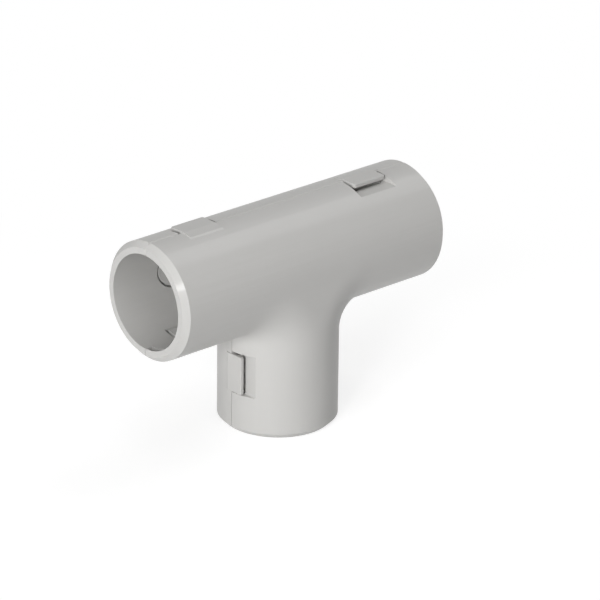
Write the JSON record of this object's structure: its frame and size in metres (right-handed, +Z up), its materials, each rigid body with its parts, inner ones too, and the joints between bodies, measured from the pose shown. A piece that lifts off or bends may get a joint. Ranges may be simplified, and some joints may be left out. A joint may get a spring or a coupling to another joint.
{
  "type": "conduit tee",
  "caption": "Openable tee that joins round electrical conduits: matching half shells close round the pipes and hold with snap tabs on the run and the branch.",
  "frame": {"origin": "centre of the branch mouth, on the plane that the tee stands on", "axes": "+Z up the branch towards the run, +X along the run, +Y across the parting plane towards the rear half"},
  "size_m": [0.0704, 0.025, 0.0476],
  "materials": {
    "shell": "light grey moulded PVC, fine satin"
  },
  "bodies": {
    "root": {"front_shell": "shell", "rear_shell": "shell"}
  },
  "joints": []
}
